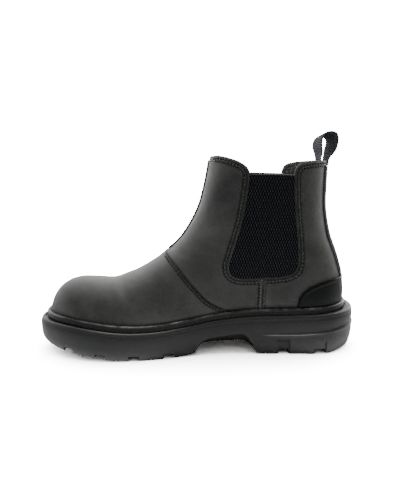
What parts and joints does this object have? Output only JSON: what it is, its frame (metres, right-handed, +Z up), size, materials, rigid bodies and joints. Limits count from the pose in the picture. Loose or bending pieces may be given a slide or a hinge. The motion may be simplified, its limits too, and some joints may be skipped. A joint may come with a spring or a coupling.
{
  "type": "leather ankle boot",
  "caption": "Slip-on leather ankle boot for the right foot: hollow upper with elastic side gussets, a back pull loop and a lugged rubber sole with a heel.",
  "frame": {"origin": "on the floor, under the centre of the boot's bounding box", "axes": "+X from toe to heel, +Y from the inner side of the foot to the outer side, +Z up"},
  "size_m": [0.3055, 0.1128, 0.2053],
  "materials": {
    "sole_rubber": "satin moulded black rubber",
    "welt_rubber": "ribbed black rubber with a shiny top lip",
    "insole": "dark woven fabric",
    "leather": "waxed charcoal leather with cloudy tone",
    "elastic": "black elastic with a honeycomb net",
    "counter": "smooth satin black coated leather",
    "webbing": "ribbed black webbing"
  },
  "bodies": {
    "root": {"outsole": "sole_rubber", "welt": "welt_rubber", "insole": "insole", "upper": "leather", "gusset_inner": "elastic", "gusset_outer": "elastic", "heel_counter": "counter", "back_strip": "webbing", "pull_loop": "webbing", "front_piping": "webbing"}
  },
  "joints": []
}
